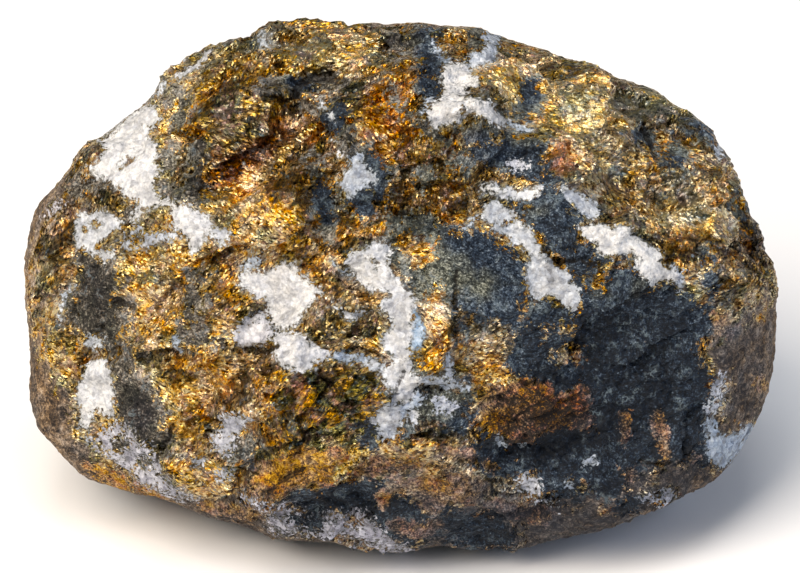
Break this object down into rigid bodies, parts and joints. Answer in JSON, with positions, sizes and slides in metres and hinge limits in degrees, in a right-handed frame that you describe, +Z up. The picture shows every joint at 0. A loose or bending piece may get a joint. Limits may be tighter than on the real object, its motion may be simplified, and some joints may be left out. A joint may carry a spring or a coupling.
{
  "type": "copper ore",
  "caption": "Hand-sized broken lump of copper ore: brassy chalcopyrite with white quartz veins in dark rock, a worn brown rind, and a flat underside to rest on.",
  "frame": {"origin": "centre of the bounding box's underside, on the worn flat that the lump rests on", "axes": "+Z up from the worn flat; +X along the lump's length, to the right of someone facing the broken face; the broken face looks towards -Y and leans back 30 degrees"},
  "size_m": [0.0752, 0.0502, 0.0493],
  "materials": {
    "ore": "rough broken sulphide ore: brassy metallic foils, milky quartz and dull dark rock"
  },
  "bodies": {
    "root": {"copper_ore": "ore"}
  },
  "joints": []
}
